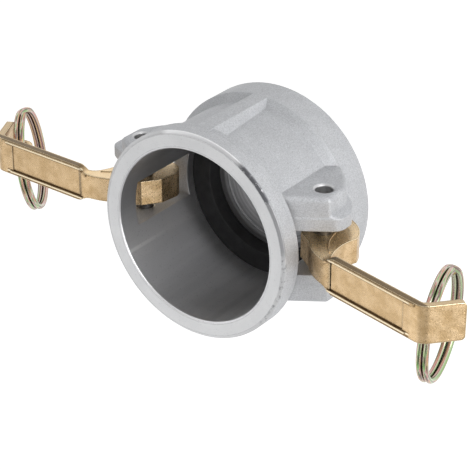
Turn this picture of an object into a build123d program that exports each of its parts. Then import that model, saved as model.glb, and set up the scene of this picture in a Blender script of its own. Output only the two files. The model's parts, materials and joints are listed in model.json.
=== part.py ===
# Camlock dust cap for a DN 50 (2 inch) cam and groove adapter
# Stands on its closed end: origin at the centre of the back face, +Z out of the mouth.
# X runs through the two arms and Y along the pivot pins. All sizes are in millimetres.

import os
from math import cos, radians, sin

from build123d import *

os.makedirs("parts", exist_ok=True)

# Cap body: a turned aluminium casting
cap_height = 52.6
bore_d = 64.2
collar_d = 77.0
band_length = 8.3
flange_over_collar = 0.8
flange_length = 12.7
flange_edge_r = 2.0
pocket_depth = 2.5
mouth_chamfer_radial = 0.95
mouth_chamfer_axial = 0.75
bore_lead_in = 0.4

# Seat for the gasket and the closed floor inside
gasket_depth = 42.6
gasket_inner_d = 48.8
gasket_od = 66.8
gasket_thickness = 6.4
gasket_lip = 0.5
gasket_radial_clearance = 0.2
gasket_axial_clearance = 0.15
floor_relief_d = 41.0
floor_relief_depth = 0.4

# Ridges that stand between the cast pockets, above and below the bore
ridge_top_width = 6.0
ridge_base_front = 13.0
ridge_base_rear = 8.0

# Side windows and the ears that carry the pins
slot_width = 16.8
window_front = 9.0
window_length = 29.9
ear_thickness = 12.4
thin_ear_thickness = 11.0
ear_end_x = 44.8
ear_corner_r = 1.5
ear_edge_r = 1.8
ear_root_x = 30.0
ear_front_slope = 40.0
ear_heel_depth = 4.9
ear_heel_height = 7.0
ear_heel_slope = 0.65
ear_heel_r = 5.0
ear_back_x = 31.5
lip_end_x = 48.0
lip_heel_depth = 3.5
thin_lip_height = 5.0
long_lip_end_x = 53.6
long_lip_heel_depth = 8.0
lip_corner_r = 5.5
lip_height = 5.9
lip_drop = 1.5
lip_proud = 0.25

# Pivot pins pressed into the ears
pin_d = 6.35
pin_offset = 38.9
pin_depth = 22.4
pin_recess = 4.0
pin_hole_chamfer = 0.6
pin_end_chamfer = 0.4

# Cast brass cam arms, in the arm's own directions: u along the strap, v out of its face
arm_bore_clearance = 0.06
head_width = 9.3
strap_width = 13.6
strap_height = 14.2
strap_thickness = 2.6
strap_start = 19.0
bend_at = 61.2
bend_angle = 62.0
bend_inner_r = 2.2
tip_length = 15.0
tip_corner_r = 1.5
shoulder_start = 14.0
shoulder_length = 6.5

# Cam head: how far each part of its outline lies from the middle of the pin
lobe_reach = 13.4
heel_reach = 12.5
throat_reach = 12.5
throat_end = 16.5
nape_reach = 15.9
crown_reach = 9.4
brow_reach = 7.7
nose_reach = 8.5
nose_foot_reach = 11.8

# Panel on the strap: a shallow recess between a raised rail and a raised upper edge
panel_start = 18.0
panel_end = 53.0
panel_depth = 0.3
rail_start = 17.6
rail_end = 54.4
rail_inset = 0.8
rail_edge_r = 0.2
rim_inset = 0.2
rim_start = 15.5
rim_end = 58.0
rail_width = 1.0
rail_height = 0.45

# Lug web in the bend, with the hole that the finger ring passes through
lug_u = 57.4
lug_v = 6.4
lug_thickness = 2.6
lug_hole_d = 7.2
lug_wall = 1.6

# Finger rings: split rings of two turns of wire
wire_d = 2.1
ring_od = 39.8
coil_gap = 0.05
crossover_turn = 38.0

# Rest positions, in degrees: how far each arm stands above square to the axis, how far its
# ring leans out from straight down, how far the ring has slipped round in its hole, how far
# it is twisted there, where along the ring its crossover lies, and in millimetres how far
# the ring lies from the middle of its hole, along the arm
rest_poses = {
    "right": {
        "side": 1, "tilt": 14.0, "lean": -15.0, "slip": 38.5, "twist": 2.7, "split": 96.0, "slack": 0.0,
    },
    "left": {
        "side": -1, "tilt": -2.8, "lean": 26.8, "slip": 36.2, "twist": -11.0, "split": 110.0, "slack": -0.25,
    },
}

# Sizes that follow from those above
bore_r = bore_d / 2
collar_r = collar_d / 2
flange_r = (collar_d + flange_over_collar) / 2
pocket_r = collar_r - pocket_depth
band_z = cap_height - band_length
slope_z = flange_length + flange_r - pocket_r
groove_r = gasket_od / 2 + gasket_radial_clearance
groove_top_z = cap_height - gasket_depth
gasket_top_z = groove_top_z - gasket_axial_clearance
seat_z = gasket_top_z - gasket_thickness
floor_z = seat_z - floor_relief_depth
slot_half = slot_width / 2
ear_outer = slot_half + ear_thickness
window_top_z = cap_height - window_front
window_bottom_z = window_top_z - window_length
pin_z = cap_height - pin_depth
pin_r = pin_d / 2
pin_length = 2 * (ear_outer - pin_recess)
strap_inner = strap_height - strap_thickness
tip_dir = (cos(radians(bend_angle)), -sin(radians(bend_angle)))
tip_normal = (sin(radians(bend_angle)), cos(radians(bend_angle)))


def ridge_section(z, base_width):
    """Trapezium of a ridge at one height, from inside the wall to past the flange's radius"""
    top_y = flange_r + 0.5
    root_y = (bore_r + pocket_r) / 2
    floor_y = pocket_r - 0.5
    spread = (base_width - ridge_top_width) / 2 / (flange_r - floor_y)
    top_half = ridge_top_width / 2 - spread * (top_y - flange_r)
    root_half = base_width / 2 + spread * (floor_y - root_y)
    with BuildSketch(Plane.XY.offset(z)) as section:
        Polygon(
            (-root_half, root_y), (root_half, root_y), (top_half, top_y), (-top_half, top_y),
            align=None,
        )
    return section.sketch


def ear_outline(end_x, corner_radius, heel_depth, proud=0.0):
    """Side view of an ear: sloping front edge, end beside the pin, sweep back to the flange"""
    front_z = band_z + 0.5 + proud
    corner_z = front_z - (end_x - ear_root_x) * sin(radians(ear_front_slope))
    heel_z = pin_z - heel_depth
    sweep_z = heel_z - ear_heel_height
    buried_x = bore_r - 3.5 - proud
    buried_z = flange_length - 3.0 - proud
    with BuildSketch(Plane.XZ) as outline:
        with BuildLine():
            Polyline(
                (buried_x, buried_z), (buried_x, front_z), (ear_root_x, front_z), (end_x, corner_z),
                (end_x, heel_z), (end_x - ear_heel_height * ear_heel_slope, sweep_z),
                (ear_back_x, buried_z), close=True,
            )
        make_face()
        corners = outline.vertices()
        fillet([v for v in corners if abs(v.Y - corner_z) < 0.01], corner_radius)
        heels = [v for v in outline.vertices() if min(abs(v.Y - heel_z), abs(v.Y - sweep_z)) < 0.01]
        fillet(heels, ear_heel_r)
    return outline.sketch


# One ridge, clipped to the flange's radius
with BuildPart() as ridge:
    loft([ridge_section(band_z + 1, ridge_base_front), ridge_section(flange_length - 1, ridge_base_rear)])
    with BuildSketch(Plane.XY):
        Circle(flange_r)
    extrude(amount=cap_height, mode=Mode.INTERSECT)

def build_ear(thickness, lip_end, lip_heel, lip_top):
    """Ear at +X, +Y: a plate with rounded outer edges and a sloping lip beside the slot"""
    slot_face = Plane.XZ.offset(-slot_half)
    lip_edge = slot_face.offset(lip_drop - lip_top)
    with BuildPart() as plate:
        with BuildSketch(slot_face):
            add(ear_outline(ear_end_x, ear_corner_r, ear_heel_depth))
        extrude(amount=-thickness)
        outer_edges = plate.faces().sort_by(Axis.Y)[-1].edges().sort_by(Axis.X)[3:]
        fillet(outer_edges, ear_edge_r)
    with BuildPart() as lip:
        with BuildSketch(slot_face):
            add(ear_outline(lip_end, lip_corner_r, lip_heel, lip_proud))
        extrude(amount=lip_drop - lip_top)
        with BuildSketch(lip_edge):
            add(ear_outline(lip_end, lip_corner_r, lip_heel, lip_proud))
        with BuildSketch(slot_face.offset(-lip_top)):
            add(ear_outline(ear_end_x - lip_proud, ear_corner_r, ear_heel_depth, -lip_proud))
        loft(ruled=True)
        add(plate.part)
    return lip.part


# The thick ear above the right-hand slot, and the thinner one below it. Across the bore
# the pair is turned half round, and the thinner ear there has a longer lip.
thick_ear = build_ear(ear_thickness, lip_end_x, lip_heel_depth, lip_height)
thin_ear = build_ear(thin_ear_thickness, lip_end_x, lip_heel_depth, thin_lip_height).mirror(Plane.XZ)
long_lip_ear = build_ear(
    thin_ear_thickness, long_lip_end_x, long_lip_heel_depth, thin_lip_height,
).mirror(Plane.XZ)

# Bore for the right-hand pin, through both ears, opening out at their outer faces
with BuildPart() as pin_bore:
    with BuildSketch(Plane.XZ.offset(-ear_outer - 1)):
        with Locations((pin_offset, pin_z)):
            Circle(pin_r)
    extrude(amount=2 * ear_outer + 2)
    for mouth_y, sense in ((ear_outer, 1), (-(slot_half + thin_ear_thickness), -1)):
        for inset, grow in ((-pin_hole_chamfer, 0), (pin_hole_chamfer, 2 * pin_hole_chamfer)):
            with BuildSketch(Plane.XZ.offset(-(mouth_y + sense * inset))):
                with Locations((pin_offset, pin_z)):
                    Circle(pin_r + grow)
        loft()

# Cap body
with BuildPart() as cap_body:
    with BuildSketch(Plane.XZ):
        with BuildLine():
            Polyline(
                (0, 0), (flange_r, 0), (flange_r, flange_length), (pocket_r, slope_z),
                (pocket_r, band_z), (collar_r, band_z), (collar_r, cap_height - mouth_chamfer_axial),
                (collar_r - mouth_chamfer_radial, cap_height), (0, cap_height), close=True,
            )
        make_face()
    revolve(axis=Axis.Z)
    fillet(cap_body.edges().filter_by(GeomType.CIRCLE).group_by(Axis.Z)[0], flange_edge_r)
    add(ridge.part)
    add(ridge.part.rotate(Axis.Z, 180))
    add(thick_ear)
    add(thin_ear)
    add(thick_ear.rotate(Axis.Z, 180))
    add(long_lip_ear.rotate(Axis.Z, 180))
    with BuildSketch(Plane.XZ):
        with BuildLine():
            Polyline(
                (0, floor_z), (floor_relief_d / 2, floor_z), (floor_relief_d / 2, seat_z),
                (groove_r, seat_z), (groove_r, groove_top_z), (bore_r, groove_top_z),
                (bore_r, cap_height - bore_lead_in), (bore_r + bore_lead_in, cap_height),
                (0, cap_height), close=True,
            )
        make_face()
    revolve(axis=Axis.Z, mode=Mode.SUBTRACT)
    with BuildSketch(Plane.YZ):
        with Locations((0, (window_top_z + window_bottom_z) / 2)):
            Rectangle(slot_width, window_length)
    extrude(amount=2 * collar_r, both=True, mode=Mode.SUBTRACT)
    add(pin_bore.part, mode=Mode.SUBTRACT)
    add(pin_bore.part.rotate(Axis.Z, 180), mode=Mode.SUBTRACT)

# Gasket: a square rubber ring with a small lip at each corner
with BuildPart() as gasket:
    with BuildSketch(Plane.XY.offset(seat_z)):
        Circle(gasket_od / 2)
        Circle(gasket_inner_d / 2, mode=Mode.SUBTRACT)
    extrude(amount=gasket_thickness)
    fillet(gasket.edges().filter_by(GeomType.CIRCLE), gasket_lip)


def build_pin(side):
    """Solid steel pin from one ear to the other, with its ends below their faces"""
    with BuildPart() as pin:
        with BuildSketch(Plane.XZ):
            with Locations((side * pin_offset, pin_z)):
                Circle(pin_r)
        extrude(amount=pin_length / 2, both=True)
        chamfer(pin.edges().filter_by(GeomType.CIRCLE), pin_end_chamfer)
    return pin.part


def arm_planes(side, tilt):
    """Side plane (u, v) and face plane (u, y) of an arm, both with the pin as origin"""
    along = (side * cos(radians(tilt)), 0, sin(radians(tilt)))
    outward = (-side * sin(radians(tilt)), 0, cos(radians(tilt)))
    pin_point = (side * pin_offset, 0, pin_z)
    side_plane = Plane(origin=pin_point, x_dir=along, z_dir=(0, -side, 0))
    face_plane = Plane(origin=pin_point, x_dir=along, z_dir=outward)
    return side_plane, face_plane


def from_pin(reach, angle):
    """Point of the cam head, by its distance from the middle of the pin and its direction"""
    return (reach * cos(radians(angle)), reach * sin(radians(angle)))


def head_profile():
    """Cam head seen along the pin: nose towards the bore, locking lobe below, heel outside"""
    crown = from_pin(crown_reach, 74)
    brow = from_pin(brow_reach, 123)
    nose = from_pin(nose_reach, 180)
    nose_foot = from_pin(nose_foot_reach, -142)
    lobe = from_pin(lobe_reach, -94)
    heel = from_pin(heel_reach, -24)
    with BuildLine() as line:
        ThreePointArc((strap_start, strap_height), from_pin(nape_reach, 53.5), crown)
        Polyline(crown, brow, nose, nose_foot)
        ThreePointArc(nose_foot, from_pin(lobe_reach, -118), lobe)
        ThreePointArc(lobe, from_pin(heel_reach, -58), heel)
        ThreePointArc(heel, from_pin(throat_reach, 16), (throat_end, strap_inner))
        Polyline((throat_end, strap_inner), (strap_start, strap_inner), (strap_start, strap_height))
    return line.line


def strap_profile():
    """Strap seen from its edge, straight and then bent down to the blank tip"""
    bend_out = (bend_at, strap_height)
    tip_out = (bend_at + tip_length * tip_dir[0], strap_height + tip_length * tip_dir[1])
    tip_in = (tip_out[0] - strap_thickness * tip_normal[0], tip_out[1] - strap_thickness * tip_normal[1])
    to_inner = strap_thickness * (1 - tip_normal[1]) / tip_normal[0]
    bend_in = (bend_at - to_inner, strap_inner)
    start = strap_start - 1
    with BuildLine() as line:
        FilletPolyline(
            (start, strap_height), bend_out, tip_out,
            radius=bend_inner_r + strap_thickness,
        )
        Line(tip_out, tip_in)
        FilletPolyline(tip_in, bend_in, (start, strap_inner), radius=bend_inner_r)
        Line((start, strap_inner), (start, strap_height))
    return line.line


def build_rails(face_plane, side, rail_y):
    """Rounded rail inside the lower edge of the face, and the rim that follows its upper edge"""
    shoulder_end = shoulder_start + shoulder_length
    rim_outer = side * (strap_width / 2 - rim_inset)
    rim_inner = side * (strap_width / 2 - rim_inset - rail_width)
    rise = (strap_width - head_width) / 4 * (rim_start - shoulder_start) / shoulder_length
    neck_outer = side * (head_width / 2 - rim_inset + rise)
    neck_inner = neck_outer - side * rail_width
    with BuildPart() as rails:
        with BuildSketch(face_plane.offset(strap_height - 2 * rail_height)):
            with Locations(((rail_start + rail_end) / 2, -side * rail_y)):
                SlotOverall(rail_end - rail_start, rail_width)
            with BuildLine():
                Spline(
                    (rim_start, neck_outer), (shoulder_end, rim_outer), tangents=((1, side * 0.3), (1, 0)),
                )
                Polyline((shoulder_end, rim_outer), (rim_end, rim_outer), (rim_end, rim_inner), (shoulder_end, rim_inner))
                Spline(
                    (shoulder_end, rim_inner), (rim_start, neck_inner), tangents=((-1, 0), (-1, -side * 0.3)),
                )
                Line((rim_start, neck_inner), (rim_start, neck_outer))
            make_face()
        extrude(amount=3 * rail_height)
        fillet(rails.faces().filter_by(Plane(face_plane.origin, z_dir=face_plane.z_dir)).sort_by(
            lambda f: -(f.center() - face_plane.origin).dot(face_plane.z_dir))[:2].edges(), rail_edge_r)
    return rails.part


def build_arm(side, tilt):
    """One cast arm: cam head, strap with a bent tip, lug web in the bend, rails and panel"""
    side_plane, face_plane = arm_planes(side, tilt)
    with BuildPart() as arm:
        with BuildSketch(side_plane):
            with BuildLine():
                add(head_profile())
            make_face()
            with BuildLine():
                add(strap_profile())
            make_face()
        extrude(amount=strap_width / 2, both=True)
        with BuildSketch(face_plane.offset(-2 * lobe_reach)):
            with BuildLine():
                Line((-2 * lobe_reach, head_width / 2), (shoulder_start, head_width / 2))
                Spline(
                    (shoulder_start, head_width / 2), (shoulder_start + shoulder_length, strap_width / 2),
                    tangents=((1, 0), (1, 0)),
                )
                Line((shoulder_start + shoulder_length, strap_width / 2), (bend_at + tip_length, strap_width / 2))
                Line((bend_at + tip_length, strap_width / 2), (bend_at + tip_length, 0))
                Line((bend_at + tip_length, 0), (-2 * lobe_reach, 0))
                Line((-2 * lobe_reach, 0), (-2 * lobe_reach, head_width / 2))
            make_face()
            mirror(about=Plane.XZ)
        extrude(amount=4 * lobe_reach, mode=Mode.INTERSECT)
        tip_u = bend_at + tip_length * tip_dir[0]
        tip_v = strap_height + tip_length * tip_dir[1]
        tip_corners = [side_plane.from_local_coords((tip_u, tip_v, y)) for y in (-strap_width / 2, strap_width / 2)]
        short_edges = arm.edges().filter_by(lambda e: abs(e.length - strap_thickness) < 0.01)
        fillet([short_edges.sort_by_distance(corner)[0] for corner in tip_corners], tip_corner_r)
        with BuildSketch(side_plane):
            with Locations((lug_u, lug_v)):
                Circle(lug_hole_d / 2 + lug_wall)
            Polygon(
                (lug_u - lug_hole_d, strap_inner + 0.5), (lug_u, strap_inner + 0.5),
                (bend_at - 1.0, strap_inner - 1.0), (bend_at + 1.5, lug_v - 1.5),
                align=None,
            )
            make_hull()
        extrude(amount=lug_thickness / 2, both=True)
        with BuildSketch(side_plane):
            Circle(pin_r + arm_bore_clearance)
            with Locations((lug_u, lug_v)):
                Circle(lug_hole_d / 2)
        extrude(amount=strap_width, both=True, mode=Mode.SUBTRACT)
        rail_y = (strap_width - rail_width) / 2 - rail_inset
        with BuildSketch(face_plane.offset(strap_height)):
            with Locations(((panel_start + panel_end) / 2, 0)):
                RectangleRounded(panel_end - panel_start, 2 * rail_y, rail_width)
        extrude(amount=-panel_depth, mode=Mode.SUBTRACT)
        rails = build_rails(face_plane, side, rail_y)
        add(rails)
    return arm.part


def build_ring(side, tilt, lean, slip, twist, split, slack):
    """Split ring: one turn of wire, a crossover, and a second turn beside the first"""
    pitch_half = (wire_d + coil_gap) / 2
    turn_r = (ring_od - wire_d) / 2
    side_plane, _ = arm_planes(side, tilt)
    hole = side_plane.from_local_coords((lug_u + slack, lug_v, 0))
    down = Vector(side * sin(radians(lean)), 0, -cos(radians(lean)))
    inward = down * cos(radians(slip)) - Vector(0, 1, 0) * sin(radians(slip))
    normal = Vector(cos(radians(lean)), 0, side * sin(radians(lean))).rotate(Axis((0, 0, 0), inward), twist)
    split_dir = inward.rotate(Axis((0, 0, 0), normal), split)
    ring_plane = Plane(origin=hole + inward * turn_r, x_dir=split_dir, z_dir=normal)
    half = crossover_turn / 2

    def on_turn(angle, height):
        return (turn_r * cos(radians(angle)), turn_r * sin(radians(angle)), height)

    first, second = pitch_half, -pitch_half
    with BuildPart() as ring:
        with BuildLine() as path:
            ThreePointArc(on_turn(half, first), on_turn(180, first), on_turn(360 - half, first))
            Spline(
                on_turn(-half, first), on_turn(0, 0), on_turn(half, second),
                tangents=(
                    (sin(radians(half)), cos(radians(half)), 0),
                    (-sin(radians(half)), cos(radians(half)), 0),
                ),
            )
            ThreePointArc(on_turn(half, second), on_turn(180, second), on_turn(360 - half, second))
        with BuildSketch(Plane(origin=path.line @ 0, z_dir=path.line % 0)):
            Circle(wire_d / 2)
        sweep(path=path.line)
    return ring.part.moved(ring_plane.location)


def save(piece, name):
    piece.label = name
    export_step(piece, f"parts/{name}.step")


save(cap_body.part, "cap_body")
save(gasket.part, "gasket")
for hand, pose in rest_poses.items():
    save(build_pin(pose["side"]), f"pivot_pin_{hand}")
    save(build_arm(pose["side"], pose["tilt"]), f"cam_arm_{hand}")
    save(build_ring(**pose), f"finger_ring_{hand}")
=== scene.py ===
# %% [markdown]
# # Camlock dust cap
# A cast aluminium cap with two brass cam arms, each with a split ring to pull it by. The solid
# parts come from the CAD model, already in place and in metres. This lesson dresses them:
# it builds the finishes, adds the fine pieces that a casting shows, and sets up the light and
# the camera. Lengths are in metres, and most are written as millimetres times MM, because
# that is how the real cap is measured.

# %% Load the CAD frame
import json
from math import cos, pi, radians, sin

import bmesh
import bpy
from mathutils import Matrix, Vector


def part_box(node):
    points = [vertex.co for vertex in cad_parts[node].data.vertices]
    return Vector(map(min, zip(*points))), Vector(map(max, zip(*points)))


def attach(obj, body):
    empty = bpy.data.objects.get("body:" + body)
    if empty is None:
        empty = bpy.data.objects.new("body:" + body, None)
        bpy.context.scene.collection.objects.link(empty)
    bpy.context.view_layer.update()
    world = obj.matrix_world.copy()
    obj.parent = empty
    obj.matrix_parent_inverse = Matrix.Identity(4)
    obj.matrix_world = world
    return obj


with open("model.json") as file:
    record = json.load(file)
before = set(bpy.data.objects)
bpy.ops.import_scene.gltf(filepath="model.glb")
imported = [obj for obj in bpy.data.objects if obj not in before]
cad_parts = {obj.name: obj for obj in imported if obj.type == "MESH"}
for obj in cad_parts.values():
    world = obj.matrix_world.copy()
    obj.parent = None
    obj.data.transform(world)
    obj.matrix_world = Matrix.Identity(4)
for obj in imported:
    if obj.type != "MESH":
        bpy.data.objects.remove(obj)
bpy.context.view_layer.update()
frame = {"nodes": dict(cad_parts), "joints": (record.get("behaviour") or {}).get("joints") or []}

MM = 0.001
print("nodes:", sorted(frame["nodes"]))

# %% [markdown]
# The frame's record says where the moving pieces turn. Each arm's own directions follow from
# its pin: u runs along the strap, v stands out of its face, and y lies along the pin. Reading
# them once here lets a pattern or a new piece lie on an arm whatever its angle.

# %% Where the arms and rings are
cap_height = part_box("cap_body")[1].z
bore_radius = 32.1 * MM
arm_tilt = {"right": radians(14.0), "left": radians(-2.8)}
side_of = {"right": 1, "left": -1}
pins = {
    joint["name"].split("_")[0]: Vector(joint["pos_m"])
    for joint in frame["joints"] if "arm" in joint["name"]
}


def arm_matrix(hand):
    """Takes a point given as (u, y, v) on an arm to its place in the row frame."""
    side, tilt = side_of[hand], arm_tilt[hand]
    along = Vector((side * cos(tilt), 0, sin(tilt)))
    out = Vector((-side * sin(tilt), 0, cos(tilt)))
    across = out.cross(along)
    turn = Matrix((along, across, out)).transposed()
    return Matrix.Translation(pins[hand]) @ turn.to_4x4()


print("cap height, mm:", round(cap_height / MM, 2))
print("pins, mm:", {hand: tuple(round(c / MM, 1) for c in pin) for hand, pin in pins.items()})

# %% [markdown]
# ## The camera
# The photograph was taken from in front of the mouth, high on the right, with a long lens and
# the camera rolled. Three directions measured from the picture, right, up and back, make the
# columns of the camera's rotation, and a distance of about 0.64 m with a 142 mm lens gives
# the picture's mild perspective. Writing the rotation as directions is easier to check than
# three Euler angles, because each column can be read off the picture.

# %% Camera
camera_data = bpy.data.cameras.new("camera")
camera_data.lens = 142.11
camera_data.sensor_width = 36.0
camera_data.clip_start = 10 * MM
camera = bpy.data.objects.new("camera", camera_data)
bpy.context.scene.collection.objects.link(camera)
camera_place = Vector((0.34453, 0.29478, 0.49989))
view_right = Vector((0.80798, -0.00058, -0.58921))
view_up = Vector((-0.27187, 0.88682, -0.37369))
view_back = Vector((0.52274, 0.46212, 0.71637))
camera_turn = Matrix((view_right, view_up, view_back)).transposed()
camera.matrix_world = Matrix.Translation(camera_place) @ camera_turn.to_4x4()
bpy.context.scene.camera = camera
bpy.context.scene.view_settings.view_transform = "Standard"
print("camera is", round(camera_place.length, 3), "m from the middle of the closed end")

# %% [markdown]
# ## Shared shader groups
# Four effects are used by the finishes. **Cast skin** is the fine grain and the slow
# cloudiness of blasted or tumbled metal. **Edges and hollows** finds the worn corners and the
# shaded grooves: the Bevel node gives the normal of a slightly rounded corner, and where it
# differs from the true normal there is an edge, while Ambient Occlusion darkens where
# surfaces meet. **Turned marks** says where a point is about the cap's axis and gives the
# rings that a lathe tool leaves. **Arm place** comes later, with the brass. Each group puts
# out only masks, values and normals, and each finish mixes them itself.

# %% Helpers that make nodes


def fill(tree, slot, value):
    """Links a socket to an input, or writes a plain value into it."""
    if isinstance(value, bpy.types.NodeSocket):
        tree.links.new(value, slot)
    else:
        slot.default_value = value


def node(tree, kind, settings=None, **inputs):
    """Adds a node, sets its properties, and fills its inputs by name, or by number as i0, i1."""
    made = tree.nodes.new(kind)
    for key, value in (settings or {}).items():
        setattr(made, key, value)
    for key, value in inputs.items():
        numbered = key[0] == "i" and key[1:].isdigit()
        fill(tree, made.inputs[int(key[1:]) if numbered else key.replace("_", " ")], value)
    return made


FLOAT, VECTOR = "NodeSocketFloat", "NodeSocketVector"


def new_group(name, inputs, outputs):
    """Makes an empty shader group with the named sockets and returns it with its two ends."""
    tree = bpy.data.node_groups.new(name, "ShaderNodeTree")
    for label, kind, value in inputs:
        socket = tree.interface.new_socket(label, in_out="INPUT", socket_type=kind)
        if value is not None:
            socket.default_value = value
    for label, kind in outputs:
        tree.interface.new_socket(label, in_out="OUTPUT", socket_type=kind)
    return tree, tree.nodes.new("NodeGroupInput"), tree.nodes.new("NodeGroupOutput")


def use_group(tree, group, **inputs):
    """Places a shared group in a material's tree and returns what it puts out."""
    made = tree.nodes.new("ShaderNodeGroup")
    made.node_tree = group
    for key, value in inputs.items():
        fill(tree, made.inputs[key.replace("_", " ")], value)
    return made.outputs


# %% Helpers for sums, masks and noise


def calc(tree, operation, first, second=0.0, clamp=False):
    """One Math node; returns its result."""
    settings = {"operation": operation, "use_clamp": clamp}
    return node(tree, "ShaderNodeMath", settings, i0=first, i1=second).outputs[0]


def product(tree, first, *others):
    """Masks or values multiplied together."""
    for other in others:
        first = calc(tree, "MULTIPLY", first, other)
    return first


def highest(tree, first, *others):
    """The highest of several masks."""
    for other in others:
        first = calc(tree, "MAXIMUM", first, other)
    return first


def ramp(tree, value, low, high, to_low=0.0, to_high=1.0):
    """A smooth step of value from low to high."""
    made = node(
        tree, "ShaderNodeMapRange", {"interpolation_type": "SMOOTHSTEP"},
        Value=value, i1=low, i2=high, i3=to_low, i4=to_high,
    )
    return made.outputs[0]


def between(tree, value, low, high, soft):
    """1 where value lies between low and high, with soft ends."""
    above_low = ramp(tree, value, low - soft, low + soft)
    return product(tree, above_low, ramp(tree, value, high + soft, high - soft))


def dot(tree, first, second):
    """How far one vector goes in the direction of another."""
    made = node(tree, "ShaderNodeVectorMath", {"operation": "DOT_PRODUCT"}, i0=first, i1=second)
    return made.outputs["Value"]


def diagonal(tree, first, second):
    """The length of a line whose two legs are given."""
    squares = calc(tree, "ADD", product(tree, first, first), product(tree, second, second))
    return calc(tree, "SQRT", squares)


def axes_of(tree, vector):
    """The x, y and z of a vector."""
    return node(tree, "ShaderNodeSeparateXYZ", Vector=vector).outputs[:]


def noise(tree, place, scale, detail, roughness=0.5):
    """Noise in space, about 0.5 in the mean."""
    made = node(
        tree, "ShaderNodeTexNoise", Vector=place, Scale=scale, Detail=detail, Roughness=roughness,
    )
    return made.outputs[0]


def noise_along(tree, distance, detail, roughness=0.5):
    """Noise that changes only with one distance."""
    made = node(
        tree, "ShaderNodeTexNoise", {"noise_dimensions": "1D"},
        W=distance, Scale=1.0, Detail=detail, Roughness=roughness,
    )
    return made.outputs[0]


# %% Helpers for colours and relief


def mix_colour(tree, factor, first, second):
    """Goes from the first colour to the second as factor goes from 0 to 1."""
    made = node(tree, "ShaderNodeMix", {"data_type": "RGBA"}, i0=factor, i6=first, i7=second)
    return made.outputs[2]


def coats(tree, colour, *layers):
    """Lays colours over a colour one after another, each as strongly as its mask says."""
    for mask, over in layers:
        colour = mix_colour(tree, mask, colour, over)
    return colour


def mix_value(tree, factor, first, second):
    """Goes from the first value to the second as factor goes from 0 to 1."""
    made = node(tree, "ShaderNodeMix", {"data_type": "FLOAT"}, i0=factor, i2=first, i3=second)
    return made.outputs[0]


def bump(tree, height, strength, distance, normal=None):
    """A Bump node over an optional base normal; returns the bent normal."""
    made = node(tree, "ShaderNodeBump", Strength=strength, Distance=distance, Height=height)
    if normal is not None:
        tree.links.new(normal, made.inputs["Normal"])
    return made.outputs[0]


# %% Cast skin group
cast_skin, ins, outs = new_group(
    "cast skin",
    [("Place", VECTOR, None), ("Grain size", FLOAT, 0.4 * MM), ("Cloud size", FLOAT, 6 * MM)],
    [("Grain", FLOAT), ("Cloud", FLOAT), ("Pits", FLOAT)],
)
grains_per_metre = calc(cast_skin, "DIVIDE", 1.0, ins.outputs["Grain size"])
clouds_per_metre = calc(cast_skin, "DIVIDE", 1.0, ins.outputs["Cloud size"])
pits_per_metre = calc(cast_skin, "DIVIDE", 0.22, ins.outputs["Grain size"])
grain = noise(cast_skin, ins.outputs["Place"], grains_per_metre, 2.0, 0.6)
cloud = noise(cast_skin, ins.outputs["Place"], clouds_per_metre, 3.0, 0.55)
cell = node(cast_skin, "ShaderNodeTexVoronoi", Vector=ins.outputs["Place"], Scale=pits_per_metre)
fill(cast_skin, outs.inputs["Grain"], grain)
fill(cast_skin, outs.inputs["Cloud"], ramp(cast_skin, cloud, 0.3, 0.7))
fill(cast_skin, outs.inputs["Pits"], ramp(cast_skin, cell.outputs["Distance"], 0.2, 0.08))
print("cast skin nodes:", len(cast_skin.nodes))

# %% Edges and hollows group
edge_finder, ins, outs = new_group(
    "edges and hollows",
    [("Hollow reach", FLOAT, 2 * MM)],
    [("Edge", FLOAT), ("Rim", FLOAT), ("Hollow", FLOAT), ("Normal", VECTOR)],
)
rounded = node(edge_finder, "ShaderNodeBevel", {"samples": 8}, Radius=0.45 * MM).outputs[0]
wider = node(edge_finder, "ShaderNodeBevel", {"samples": 8}, Radius=1.1 * MM).outputs[0]
true_normal = node(edge_finder, "ShaderNodeNewGeometry").outputs["Normal"]
openness = node(
    edge_finder, "ShaderNodeAmbientOcclusion", {"samples": 8, "only_local": True},
    Distance=ins.outputs["Hollow reach"],
).outputs["AO"]
# A dot product of 0.995 between the normals is a bend of 6 degrees, and 0.9 one of 26
corner = ramp(edge_finder, dot(edge_finder, rounded, true_normal), 0.995, 0.9)
wider_corner = ramp(edge_finder, dot(edge_finder, wider, true_normal), 0.998, 0.96)
rim = calc(edge_finder, "SUBTRACT", wider_corner, corner, clamp=True)
edge = product(edge_finder, corner, ramp(edge_finder, openness, 0.75, 0.97))
fill(edge_finder, outs.inputs["Rim"], rim)
fill(edge_finder, outs.inputs["Edge"], edge)
fill(edge_finder, outs.inputs["Hollow"], ramp(edge_finder, openness, 0.92, 0.45))
fill(edge_finder, outs.inputs["Normal"], rounded)
print("edge finder nodes:", len(edge_finder.nodes))

# %% Turned marks group
turned_marks, ins, outs = new_group(
    "turned marks",
    [("Place", VECTOR, None), ("Feed", FLOAT, 0.3 * MM)],
    [("Rings", FLOAT), ("Radius", FLOAT), ("Height", FLOAT), ("Angle", FLOAT)],
)
x, y, z = axes_of(turned_marks, ins.outputs["Place"])
radius = diagonal(turned_marks, x, y)
feeds_per_metre = calc(turned_marks, "DIVIDE", 1.0, ins.outputs["Feed"])
rings = noise_along(turned_marks, product(turned_marks, radius, feeds_per_metre), 3.0)
fill(turned_marks, outs.inputs["Rings"], rings)
fill(turned_marks, outs.inputs["Radius"], radius)
fill(turned_marks, outs.inputs["Height"], z)
fill(turned_marks, outs.inputs["Angle"], calc(turned_marks, "ARCTAN2", y, x))
print("shader groups:", [g.name for g in bpy.data.node_groups if g.type == "SHADER"])

# %% Start and end of every finish


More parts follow.
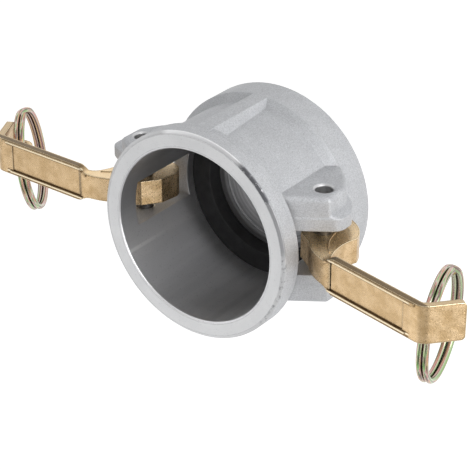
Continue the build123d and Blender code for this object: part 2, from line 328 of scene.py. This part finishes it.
def new_finish(name):
    """An empty material with its shader joined to its output, and its place on the object."""
    material = bpy.data.materials.new(name)
    material.use_nodes = True
    tree = material.node_tree
    tree.nodes.clear()
    shader = tree.nodes.new("ShaderNodeBsdfPrincipled")
    end = tree.nodes.new("ShaderNodeOutputMaterial")
    tree.links.new(shader.outputs[0], end.inputs[0])
    place = tree.nodes.new("ShaderNodeTexCoord").outputs["Object"]
    return material, tree, shader, place


def dress(tree, shader, **inputs):
    """Gives the shader its colour, metal, roughness and normal."""
    for key, value in inputs.items():
        fill(tree, shader.inputs[key.replace("_", " ")], value)


# %% [markdown]
# ## Aluminium of the cap
# The outside is a blasted casting: pale grey, even, with a fine grain and a few pits. The
# mouth, its chamfers and the bore were turned afterwards, so they are smoother and brighter,
# and the pin holes were drilled, so their walls are bright too. One material covers all of
# it, because the cap is one casting: masks of height, radius and distance from the pins say
# where it was machined.

# %% Aluminium: where it was machined
aluminium, tree, shader, place = new_finish("blasted aluminium")
skin = use_group(tree, cast_skin, Place=place, Grain_size=0.42 * MM, Cloud_size=9 * MM)
edges = use_group(tree, edge_finder, Hollow_reach=3 * MM)
marks = use_group(tree, turned_marks, Place=place, Feed=0.35 * MM)
angle, radius, height = marks["Angle"], marks["Radius"], marks["Height"]

# The outside of the closed end lies inside the bore's radius too, but low down, and it was
# never turned, so the bore starts half way through the closed end's wall
turned_radius = bore_radius + 0.3 * MM
inside_radius = ramp(tree, radius, turned_radius + 0.3 * MM, turned_radius)
in_bore = product(tree, inside_radius, ramp(tree, height, 1.5 * MM, 2.5 * MM))
on_floor = product(tree, in_bore, ramp(tree, height, 5.0 * MM, 4.0 * MM))
on_wall = calc(tree, "SUBTRACT", in_bore, on_floor)
mouth_from = cap_height - 1.0 * MM
on_mouth = ramp(tree, height, mouth_from, mouth_from + 0.2 * MM)

pin_hole_radius = 3.8 * MM
x, _, z = axes_of(tree, place)
from_pin_x = calc(tree, "SUBTRACT", calc(tree, "ABSOLUTE", x), pins["right"].x)
from_pin_z = calc(tree, "SUBTRACT", z, pins["right"].z)
from_pin = diagonal(tree, from_pin_x, from_pin_z)
drilled = ramp(tree, from_pin, pin_hole_radius + 0.1 * MM, pin_hole_radius - 0.1 * MM)
machined = highest(tree, in_bore, on_mouth, drilled)
print("turned above z, mm:", round(mouth_from / MM, 2))
print("turned inside radius, mm:", round(turned_radius / MM, 2))

# %% [markdown]
# The mouth has been knocked about. Its outer chamfer has a dark scrape, a rubbed stretch and a speckled
# one, with a painted highlight on the chamfer beside them, and thin broken lines run along the two
# edges of its face. Each mark is an arc of the mouth, given by two angles, times a noise that is
# stretched along the arc.

# %% Aluminium: knocks at the mouth


def arc(tree, angle, start, stop, soft):
    """1 between two angles about the cap, in degrees from +X, with soft ends in radians."""
    return between(tree, angle, radians(start), radians(stop), soft)


chamfer_from = 37.2 * MM
per_radian, per_metre = 22.0, 900.0
scuff_place = node(
    tree, "ShaderNodeCombineXYZ", X=product(tree, angle, per_radian),
    Y=product(tree, height, per_metre), Z=product(tree, radius, per_metre),
).outputs[0]
scuff_noise = noise(tree, scuff_place, 1.0, 4.0, 0.7)
past_face = ramp(tree, radius, chamfer_from, chamfer_from + 0.3 * MM)
on_chamfer = product(tree, past_face, ramp(tree, height, cap_height - 1.4 * MM, cap_height - 0.8 * MM))

scraped = product(tree, arc(tree, angle, 34, 58, 0.04), ramp(tree, scuff_noise, 0.34, 0.44))
rubbed = product(tree, arc(tree, angle, 6, 36, 0.06), 0.6)
speckled = product(tree, arc(tree, angle, -40, 6, 0.1), ramp(tree, scuff_noise, 0.52, 0.62), 0.7)
scuffs = product(tree, on_chamfer, highest(tree, scraped, rubbed, speckled))
# Painted highlight: one arc of the outer chamfer is whitened
painted_chamfer_highlight = product(tree, on_chamfer, arc(tree, angle, 60, 108, 0.06))

outer_line = between(tree, radius, 37.15 * MM, 37.35 * MM, 0.1 * MM)
inner_line = between(tree, radius, 32.85 * MM, 33.00 * MM, 0.1 * MM)
broken = ramp(tree, scuff_noise, 0.38, 0.58, 0.25, 0.75)
mouth_lines = product(tree, highest(tree, outer_line, inner_line), on_mouth, broken)
print("outer chamfer starts at radius, mm:", round(chamfer_from / MM, 1))

# %% [markdown]
# Each colour is built as paint is, in coats: a mask says how strongly the next colour covers the ones
# below. The casting has a slow cloud, a fine grain, and a slightly paler band with a dark step where
# the lathe trued its rim. The turned metal is paler, and the bore is paler still, painted light that
# lifts the shade inside it. Its wall carries painted reflection streaks along the axis, painted shade
# on the side towards 135 degrees from +X, and one narrow painted highlight, while its floor shows the
# rings of the tool. The lead-in at the mouth gets a painted highlight on one arc.

# %% Aluminium: colour of the casting
band_foot, band_step = cap_height - 6.4 * MM, 0.2 * MM
turned_band = ramp(tree, height, band_foot, band_foot + band_step)
step_line = between(tree, height, band_foot, band_foot + band_step, 0.1 * MM)
cast_colour = coats(
    tree, mix_colour(tree, skin["Cloud"], (0.58, 0.59, 0.61, 1), (0.64, 0.65, 0.67, 1)),
    (product(tree, turned_band, 0.25), (0.66, 0.665, 0.68, 1)),
    (product(tree, step_line, 0.3), (0.34, 0.34, 0.35, 1)),
    (ramp(tree, skin["Grain"], 0.58, 0.38, 0.0, 0.45), (0.36, 0.365, 0.38, 1)),
    (ramp(tree, skin["Grain"], 0.55, 0.72, 0.0, 0.5), (0.70, 0.71, 0.73, 1)),
)
print("trued band from z, mm:", round(band_foot / MM, 1))

# %% Aluminium: colour of the turned metal
# Painted reflection: darker streaks along the axis of the bore wall stand in for reflections in the
# turned surface
streak_place = node(
    tree, "ShaderNodeCombineXYZ", X=product(tree, angle, 5.0), Y=product(tree, height, 9.0),
).outputs[0]
painted_reflection_streaks = noise(tree, streak_place, 1.0, 2.0)
floor_rings = noise_along(tree, product(tree, radius, 620.0), 4.0, 0.7)
floor_colour = mix_colour(
    tree, ramp(tree, floor_rings, 0.35, 0.65), (0.40, 0.40, 0.41, 1), (0.66, 0.66, 0.67, 1),
)
# Painted shade: the bore wall darkens towards the side at 135 degrees from +X
shade_side = radians(135)
towards_shade = dot(tree, place, (cos(shade_side), sin(shade_side), 0))
painted_bore_shade = product(tree, on_wall, ramp(tree, towards_shade, 0.0, bore_radius))
# Painted highlight: a narrow white line along the bore wall
glint_arc = arc(tree, angle, -153.2, -151.0, 0.012)
painted_bore_glint = product(tree, glint_arc, ramp(tree, height, 28 * MM, 48 * MM), on_wall)
near_bore = ramp(tree, radius, bore_radius + 0.6 * MM, bore_radius + 0.4 * MM)
# Painted highlight: the lead-in at the mouth is whitened on one arc only
painted_lead_in_highlight = product(tree, on_mouth, near_bore, arc(tree, angle, -165, -50, 0.3))
# Painted light: the bore is coated paler than the mouth to lift the shade inside it
turned_colour = coats(
    tree, mix_colour(tree, marks["Rings"], (0.58, 0.585, 0.59, 1), (0.66, 0.66, 0.665, 1)),
    (product(tree, skin["Cloud"], 0.35), (0.50, 0.505, 0.515, 1)),
    (in_bore, (0.84, 0.84, 0.85, 1)),
    (ramp(tree, skin["Grain"], 0.56, 0.72, 0.0, 0.35), (0.45, 0.45, 0.46, 1)),
    (product(tree, on_wall, ramp(tree, painted_reflection_streaks, 0.62, 0.38, 0.0, 0.35)), (0.58, 0.585, 0.60, 1)),
    (on_floor, floor_colour),
    (product(tree, painted_bore_shade, 0.5), (0.22, 0.22, 0.225, 1)),
    (product(tree, painted_bore_glint, 0.8), (1.0, 1.0, 1.0, 1)),
    (painted_lead_in_highlight, (0.97, 0.97, 0.98, 1)),
)
print("nodes so far:", len(tree.nodes))

# %% Aluminium: put together
pit_strength = calc(tree, "SUBTRACT", 0.30, product(tree, machined, 0.12))
colour = coats(
    tree, mix_colour(tree, machined, cast_colour, turned_colour),
    (product(tree, edges["Edge"], 0.25), (0.76, 0.76, 0.77, 1)),
    # Painted shade: the Hollow coat darkens where surfaces meet
    (product(tree, edges["Hollow"], 0.35), (0.24, 0.24, 0.25, 1)),
    (product(tree, skin["Pits"], pit_strength), (0.30, 0.30, 0.31, 1)),
    (painted_chamfer_highlight, (0.93, 0.93, 0.94, 1)),
    (mouth_lines, (0.34, 0.34, 0.355, 1)),
    (product(tree, scuffs, 0.9), (0.13, 0.13, 0.145, 1)),
)
rough_cast = ramp(tree, skin["Grain"], 0.3, 0.7, 0.50, 0.62)
rough_turned = ramp(tree, marks["Rings"], 0.3, 0.7, 0.36, 0.46)
cast_relief = calc(tree, "SUBTRACT", skin["Grain"], product(tree, skin["Pits"], 0.5))
tool_relief = product(tree, marks["Rings"], on_mouth, 0.3)
relief = mix_value(tree, machined, cast_relief, tool_relief)
dress(
    tree, shader, Base_Color=colour,
    Metallic=mix_value(tree, machined, 0.45, 0.90),
    Roughness=mix_value(tree, machined, rough_cast, rough_turned),
    Normal=bump(tree, relief, 0.6, 0.14 * MM, edges["Normal"]),
)
print("nodes in", aluminium.name + ":", len(tree.nodes))

# %% [markdown]
# ## Brass of the arms
# The arms are tumbled brass castings. Tumbling polished their broad faces to a sandy gold and rubbed
# the edges bright, and the crests of the rails are rubbed bright and also carry a painted highlight.
# The narrow sides of the strap carry painted shade, and those of the head a painted sheen, while the
# foot of each rail, the band beside each edge and every corner are darkened as painted shade. The brown
# and the bright lines follow the casting, so they are placed in the arm's own directions: a shared
# group turns a place on the object into u along the strap, v out of its face and y along the pin, and
# each arm gives its own pin and directions. Both arms are the same casting, so both get the same
# pattern.

# %% Arm place group
arm_place, ins, outs = new_group(
    "arm place",
    [("Place", VECTOR, None), ("Pin", VECTOR, None), ("Along", VECTOR, None), ("Out", VECTOR, None)],
    [("u", FLOAT), ("v", FLOAT), ("y", FLOAT)],
)
from_axis = node(
    arm_place, "ShaderNodeVectorMath", {"operation": "SUBTRACT"},
    i0=ins.outputs["Place"], i1=ins.outputs["Pin"],
).outputs[0]
fill(arm_place, outs.inputs["u"], dot(arm_place, from_axis, ins.outputs["Along"]))
fill(arm_place, outs.inputs["v"], dot(arm_place, from_axis, ins.outputs["Out"]))
fill(arm_place, outs.inputs["y"], axes_of(arm_place, from_axis)[1])

# %% Brass finish
face_v = 14.2 * MM
rail_crests = ((-5.8 * MM, -5.2 * MM), (5.7 * MM, 6.3 * MM))
rail_bases = ((-6.7 * MM, -4.7 * MM), (5.0 * MM, 6.4 * MM))


def tumbled_brass(hand):
    """The brass of one arm, with its pattern laid out from that arm's pin."""
    brass, tree, shader, place = new_finish("tumbled brass " + hand)
    turn = arm_matrix(hand).to_3x3()
    on_arm = use_group(
        tree, arm_place, Place=place, Pin=pins[hand], Along=turn.col[0], Out=turn.col[2],
    )
    u, v, y = on_arm["u"], on_arm["v"], on_arm["y"]
    skin = use_group(tree, cast_skin, Place=place, Grain_size=0.45 * MM, Cloud_size=4 * MM)
    edges = use_group(tree, edge_finder, Hollow_reach=2.5 * MM)

    # The sides: painted shade darkens the narrow faces along the strap, and a painted sheen lightens
    # those of the head
    _, facing_y, _ = axes_of(tree, node(tree, "ShaderNodeTexCoord").outputs["Normal"])
    sideways = ramp(tree, calc(tree, "ABSOLUTE", facing_y), 0.75, 0.95)
    on_strap = ramp(tree, calc(tree, "ABSOLUTE", y), 5.0 * MM, 6.4 * MM)
    painted_side_shade = product(tree, sideways, product(tree, on_strap, 0.92))
    worn_line = product(tree, sideways, on_strap, ramp(tree, v, 12.2 * MM, 11.9 * MM))
    painted_head_sheen = product(tree, sideways, ramp(tree, on_strap, 0.3, 0.0, 0.0, 0.7))

    # The panel: crests on its two rails rubbed bright and given a painted highlight, painted shade at
    # their feet, and a duller field between
    near_face = ramp(tree, v, face_v - 0.8 * MM, face_v - 0.3 * MM)
    on_face = product(tree, near_face, between(tree, u, 17 * MM, 56 * MM, 0.4 * MM))
    rail_tops = highest(tree, *(between(tree, y, *span, 0.12 * MM) for span in rail_crests))
    rail_feet = highest(tree, *(between(tree, y, *span, 0.15 * MM) for span in rail_bases))
    crest_wear_and_highlight = product(tree, on_face, rail_tops)
    painted_rail_foot_shade = product(tree, on_face, calc(tree, "SUBTRACT", rail_feet, rail_tops, clamp=True))
    patchy = calc(tree, "ADD", 0.55, product(tree, skin["Cloud"], 0.45))
    panel_field = product(tree, on_face, between(tree, y, -4.6 * MM, 5.0 * MM, 0.3 * MM))
    panel_end = product(tree, near_face, between(tree, u, 16.5 * MM, 19.0 * MM, 0.3 * MM))

    edge_wear = calc(tree, "SUBTRACT", 0.85, product(tree, panel_end, 0.7))
    hollow_strength = ramp(tree, u, 6 * MM, 12 * MM, 0.35, 0.9)
    colour = coats(
        tree, mix_colour(tree, skin["Cloud"], (0.52, 0.355, 0.18, 1), (0.74, 0.54, 0.32, 1)),
        (ramp(tree, skin["Grain"], 0.52, 0.34, 0.0, 0.45), (0.40, 0.27, 0.13, 1)),
        (painted_head_sheen, (0.95, 0.74, 0.46, 1)),
        (painted_side_shade, (0.12, 0.078, 0.034, 1)),
        (product(tree, worn_line, 0.8), (0.66, 0.50, 0.30, 1)),
        # Painted shade: a dark band along the rounding beside each edge
        (product(tree, edges["Rim"], 0.5), (0.22, 0.135, 0.05, 1)),
        (product(tree, panel_field, 0.35), (0.50, 0.35, 0.19, 1)),
        (product(tree, painted_rail_foot_shade, patchy), (0.15, 0.085, 0.03, 1)),
        (product(tree, edges["Edge"], edge_wear), (0.92, 0.79, 0.56, 1)),
        (product(tree, crest_wear_and_highlight, 0.8), (0.92, 0.80, 0.58, 1)),
        # Painted shade: the Hollow coat darkens the corners, most strongly along the strap
        (product(tree, edges["Hollow"], hollow_strength), (0.085, 0.045, 0.015, 1)),
    )
    grain_and_cloud = calc(tree, "ADD", skin["Grain"], product(tree, skin["Cloud"], 0.6))
    relief = calc(tree, "SUBTRACT", grain_and_cloud, product(tree, skin["Pits"], 0.5))
    dress(
        tree, shader, Base_Color=colour, Metallic=0.9,
        Roughness=ramp(tree, skin["Grain"], 0.3, 0.7, 0.24, 0.38),
        Normal=bump(tree, relief, 0.5, 0.12 * MM, edges["Normal"]),
    )
    print("brass of the", hand, "arm, nodes:", len(tree.nodes))
    return brass


# %% [markdown]
# ## Plated wire of the rings
# The split rings are spring steel with a passivated zinc coat, a film so thin that it shows pink, green
# and straw by interference. A slow noise picks the tint from a colour ramp, a second one paints dark
# brown streaks that stand in for dark reflections, and the gap between the turns is darkened as painted
# shade. Adding the normal to the place shifts the tint from one side of the wire to the other, as it
# shifts on the real film.

# %% Plated wire finish
wire_coat, tree, shader, place = new_finish("passivated zinc wire")
facing = node(tree, "ShaderNodeTexCoord").outputs["Normal"]
along_wire = node(tree, "ShaderNodeVectorMath", {"operation": "SCALE"}, i0=place, Scale=45.0).outputs[0]
streaky = node(tree, "ShaderNodeVectorMath", {"operation": "ADD"}, i0=along_wire, i1=facing).outputs[0]
tint = node(
    tree, "ShaderNodeTexNoise", Vector=streaky, Scale=1.6, Detail=1.5, Roughness=0.5, Distortion=0.3,
).outputs[0]
# Painted dark reflections: a second noise darkens streaks of the wire
painted_dark_reflections = node(
    tree, "ShaderNodeTexNoise", {"noise_dimensions": "4D"},
    Vector=streaky, W=3.7, Scale=1.9, Detail=1.0, Roughness=0.5,
).outputs[0]
film_tints = (
    (0.30, (0.16, 0.36, 0.10, 1)),
    (0.40, (0.36, 0.50, 0.24, 1)),
    (0.47, (0.62, 0.58, 0.50, 1)),
    (0.54, (0.58, 0.26, 0.26, 1)),
    (0.62, (0.58, 0.44, 0.18, 1)),
    (0.70, (0.40, 0.28, 0.32, 1)),
)
film = node(tree, "ShaderNodeValToRGB", Fac=tint)
stops = film.color_ramp.elements
for position, film_tint in film_tints:
    stops.new(position).color = film_tint
stops.remove(stops[0])
stops.remove(stops[-1])
skin = use_group(tree, cast_skin, Place=place, Grain_size=0.3 * MM, Cloud_size=5 * MM)
edges = use_group(tree, edge_finder, Hollow_reach=1.4 * MM)
colour = coats(
    tree, film.outputs[0],
    (ramp(tree, painted_dark_reflections, 0.50, 0.62, 0.0, 0.85), (0.13, 0.10, 0.08, 1)),
    (ramp(tree, skin["Grain"], 0.50, 0.35, 0.0, 0.2), (0.25, 0.21, 0.18, 1)),
    # Painted shade: the Hollow coat darkens the gap between the turns
    (product(tree, edges["Hollow"], 0.95), (0.06, 0.035, 0.02, 1)),
)
dress(
    tree, shader, Base_Color=colour, Metallic=1.0,
    Roughness=ramp(tree, skin["Grain"], 0.3, 0.7, 0.20, 0.34),
    Normal=bump(tree, skin["Grain"], 0.25, 0.04 * MM),
)
print("film tints:", len(stops))

# %% [markdown]
# ## Steel of the pins and rubber of the gasket
# The pins show only as plain ends below the faces of the ears, darker than the casting and a little
# rough from the saw. Their steel is coloured far darker than bare steel, as painted shade for the gap
# under the ears. The gasket is black rubber with a faint bloom.

# %% Steel and rubber finishes
steel, tree, shader, place = new_finish("plain steel")
skin = use_group(tree, cast_skin, Place=place, Grain_size=0.45 * MM, Cloud_size=2.5 * MM)
edges = use_group(tree, edge_finder, Hollow_reach=1.5 * MM)
# Painted shade: the steel is coloured much darker than bare steel
colour = coats(
    tree, mix_colour(tree, skin["Cloud"], (0.10, 0.097, 0.093, 1), (0.22, 0.21, 0.20, 1)),
    (product(tree, edges["Edge"], 0.5), (0.7, 0.69, 0.67, 1)),
)
dress(
    tree, shader, Base_Color=colour, Metallic=1.0,
    Roughness=ramp(tree, skin["Grain"], 0.3, 0.7, 0.35, 0.55),
    Normal=bump(tree, skin["Grain"], 0.5, 0.08 * MM, edges["Normal"]),
)

rubber, tree, shader, place = new_finish("black rubber")
skin = use_group(tree, cast_skin, Place=place, Grain_size=0.4 * MM, Cloud_size=5 * MM)
dress(
    tree, shader,
    Base_Color=mix_colour(tree, skin["Cloud"], (0.008, 0.008, 0.009, 1), (0.020, 0.020, 0.021, 1)),
    Roughness=ramp(tree, skin["Grain"], 0.3, 0.7, 0.55, 0.7),
    Normal=bump(tree, skin["Grain"], 0.4, 0.06 * MM),
)
print("finishes:", steel.name, "and", rubber.name)

# %% [markdown]
# The CAD nodes keep their shapes. Only what fills their material slots changes, so the finish
# goes on the mesh without moving a single point of it.

# %% Give each CAD node its finish
finish_of = {
    "cap_body": aluminium, "gasket": rubber,
    "cam_arm_right": tumbled_brass("right"), "cam_arm_left": tumbled_brass("left"),
    "pivot_pin_right": steel, "pivot_pin_left": steel,
    "finger_ring_right": wire_coat, "finger_ring_left": wire_coat,
}
for name, material in finish_of.items():
    slots = frame["nodes"][name].data.materials
    if len(slots) == 0:
        slots.append(material)
    for index in range(len(slots)):
        slots[index] = material
print("finishes given:", len(finish_of))

# %% [markdown]
# ## Two fine details of the castings
# The solids leave out what is under half a millimetre high. Each cam head has a **seam**, the
# low rounded crease where the two halves of its mould met, running from the heel up into the
# neck on both sides. It is an arc, so it is made by spinning a flat oval about the arc's
# centre, which gives clean rings of faces and needs no list of points. Each **ridge** of the
# cap runs out on the collar in a short slope, a curved grid that is given a wall by extruding
# it inwards.

# %% Helper for a new piece


def new_piece(name, shape, material, body, smooth=True):
    """Makes a mesh object of a finished bmesh and puts it on the body it moves with."""
    bmesh.ops.recalc_face_normals(shape, faces=shape.faces)
    mesh = bpy.data.meshes.new(name)
    shape.to_mesh(mesh)
    shape.free()
    mesh.materials.append(material)
    for face in mesh.polygons:
        face.use_smooth = smooth
    piece = bpy.data.objects.new(name, mesh)
    bpy.context.scene.collection.objects.link(piece)
    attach(piece, body)
    return piece


# %% Seams of the cam heads
seam_centre_u, seam_centre_v = 23.71 * MM, -9.70 * MM
seam_radius = 21.48 * MM
seam_from, seam_to = radians(160.0), radians(120.0)
seam_half_width, seam_flatness = 0.38 * MM, 0.75
head_half_width = 4.65 * MM

for hand in ("right", "left"):
    for y_sign, face_name in ((1, "a"), (-1, "b")):
        seam = bmesh.new()
        bmesh.ops.create_circle(seam, segments=12, radius=seam_half_width)
        bmesh.ops.scale(seam, vec=(1.0, seam_flatness, 1.0), verts=seam.verts)
        bmesh.ops.translate(seam, vec=(seam_radius, 0, 0), verts=seam.verts)
        start = Matrix.Rotation(-seam_from, 3, "Y")
        bmesh.ops.rotate(seam, cent=(0, 0, 0), matrix=start, verts=seam.verts)
        bmesh.ops.spin(
            seam, geom=list(seam.verts) + list(seam.edges), cent=(0, 0, 0), axis=(0, 1, 0),
            angle=seam_from - seam_to, steps=24, use_merge=False,
        )
        ends = [edge for edge in seam.edges if edge.is_boundary]
        bmesh.ops.holes_fill(seam, edges=ends, sides=12)
        to_side = (seam_centre_u, y_sign * head_half_width, seam_centre_v)
        bmesh.ops.translate(seam, vec=to_side, verts=seam.verts)
        bmesh.ops.transform(seam, matrix=arm_matrix(hand), verts=seam.verts)
        brass = finish_of[f"cam_arm_{hand}"]
        new_piece(f"head_seam_{hand}_{face_name}", seam, brass, f"{hand}_arm")
print("seam length, mm:", round(seam_radius * (seam_from - seam_to) / MM, 1))

# %% Run-outs of the ridges
collar_radius, flange_radius = 38.5 * MM, 38.9 * MM
toe_from, toe_to = 45.1 * MM, 48.4 * MM
toe_half_width, toe_depth = 3.3 * MM, 0.8 * MM
sunk = 0.05 * MM

for number, turn_angle in enumerate((0.0, pi)):
    toe = bmesh.new()
    bmesh.ops.create_grid(toe, x_segments=12, y_segments=8, size=1.0)
    for corner in toe.verts:
        run = (corner.co.y + 1) / 2
        across = corner.co.x * toe_half_width
        reach = flange_radius - (flange_radius - collar_radius + sunk) * run
        out = (reach * reach - across * across) ** 0.5
        corner.co = (across, out, toe_from + run * (toe_to - toe_from))
    walls = bmesh.ops.extrude_face_region(toe, geom=list(toe.faces))
    inner = [v for v in walls["geom"] if isinstance(v, bmesh.types.BMVert)]
    bmesh.ops.translate(toe, vec=(0, -toe_depth, 0), verts=inner)
    about_axis = Matrix.Rotation(turn_angle, 3, "Z")
    bmesh.ops.rotate(toe, cent=(0, 0, 0), matrix=about_axis, verts=toe.verts)
    new_piece(f"ridge_toe_{number + 1}", toe, aluminium, "cap", smooth=False)
print("ridge run-out, mm:", round((toe_to - toe_from) / MM, 1))

# %% [markdown]
# ## Floor and light
# The cap hangs a little above a white sheet in a light tent, because its arms fold down past
# its closed end and would cut through a sheet that touched it. From below, the sheet is clear,
# so that the closed end can be seen. The floor and the background are white to the camera and
# in reflections, through Light Path, so no extra light is needed to whiten them, and the floor
# still darkens where the object shades it. Large soft lamps stand over the mouth, low on the
# right and high in front on the left.

# %% Floor
floor_drop = 52 * MM
floor_half_width = 4.0
floor_mesh = bpy.data.meshes.new("floor")
floor_shape = bmesh.new()
bmesh.ops.create_grid(floor_shape, x_segments=1, y_segments=1, size=floor_half_width)
bmesh.ops.translate(floor_shape, vec=(0, 0, -floor_drop), verts=floor_shape.verts)
floor_shape.to_mesh(floor_mesh)
floor_shape.free()
floor = bpy.data.objects.new("floor", floor_mesh)
bpy.context.scene.collection.objects.link(floor)
print("floor below the closed end, mm:", round(floor_drop / MM))

# %% White sheet of the floor


def seen_directly(tree):
    """1 for rays from the camera, from gloss and through glass, and 0 for light that bounces."""
    path = tree.nodes.new("ShaderNodeLightPath").outputs
    return highest(tree, path["Is Camera Ray"], path["Is Glossy Ray"], path["Is Transmission Ray"])


def blend_shaders(tree, kind, *shaders):
    """A Mix or Add Shader node with its last inputs linked to the shaders; returns the node."""
    made = tree.nodes.new(kind)
    first_slot = len(made.inputs) - len(shaders)
    for index, each in enumerate(shaders):
        tree.links.new(each.outputs[0], made.inputs[first_slot + index])
    return made


sheet = bpy.data.materials.new("white sheet")
sheet.use_nodes = True
tree = sheet.node_tree
tree.nodes.clear()
bounce = node(tree, "ShaderNodeBsdfDiffuse", Color=(0.45, 0.45, 0.45, 1))
shown = node(tree, "ShaderNodeBsdfDiffuse", Color=(0.5, 0.5, 0.5, 1))
glow = node(tree, "ShaderNodeEmission", Color=(1, 1, 1, 1), Strength=0.80)
clear = tree.nodes.new("ShaderNodeBsdfTransparent")
bright = blend_shaders(tree, "ShaderNodeAddShader", shown, glow)
above = blend_shaders(tree, "ShaderNodeMixShader", bounce, bright)
tree.links.new(seen_directly(tree), above.inputs[0])
either_side = blend_shaders(tree, "ShaderNodeMixShader", above, clear)
from_below = node(tree, "ShaderNodeNewGeometry").outputs["Backfacing"]
tree.links.new(from_below, either_side.inputs[0])
end = tree.nodes.new("ShaderNodeOutputMaterial")
tree.links.new(either_side.outputs[0], end.inputs[0])
floor_mesh.materials.append(sheet)
print("floor shows as:", sheet.name)

# %% [markdown]
# The world is the tent: weak and even where light bounces, so that the lamps shape the metal,
# and white where it is seen. Overhead it is seen darker, because the metal that faces up
# mirrors it, and it is the darkest metal in the photograph.

# %% World
world = bpy.data.worlds.new("light tent")
bpy.context.scene.world = world
world.use_nodes = True
tree = world.node_tree
tree.nodes.clear()
tent = node(tree, "ShaderNodeBackground", Color=(1, 1, 1, 1), Strength=0.3)
_, _, upwards = axes_of(tree, node(tree, "ShaderNodeTexCoord").outputs["Generated"])
tent_seen = ramp(tree, upwards, 0.35, 0.75, 1.0, 0.3)
backdrop = node(tree, "ShaderNodeBackground", Color=(1, 1, 1, 1), Strength=tent_seen)
around = blend_shaders(tree, "ShaderNodeMixShader", tent, backdrop)
tree.links.new(seen_directly(tree), around.inputs[0])
end = tree.nodes.new("ShaderNodeOutputWorld")
tree.links.new(around.outputs[0], end.inputs[0])
print("light around the cap:", world.name)

# %% Lamps
cap_middle = Vector((0, 0, 30 * MM))


def soft_lamp(name, place, width, height, power):
    """A rectangular area lamp at place, facing the middle of the cap."""
    data = bpy.data.lights.new(name, "AREA")
    data.shape = "RECTANGLE"
    data.size, data.size_y, data.energy = width, height, power
    lamp = bpy.data.objects.new(name, data)
    bpy.context.scene.collection.objects.link(lamp)
    lamp.location = place
    lamp.rotation_euler = (cap_middle - Vector(place)).to_track_quat("-Z", "Y").to_euler()
    return lamp


lamps = [
    soft_lamp("over_mouth", (0.30, -0.25, 1.0), 0.9, 0.9, 1.5),
    soft_lamp("right_side", (0.9, 0.32, 0.30), 1.3, 0.5, 7.5),
    soft_lamp("left_front", (-0.5, -0.6, 0.8), 0.8, 0.8, 1.8),
]
print("lamps:", [lamp.name for lamp in lamps])
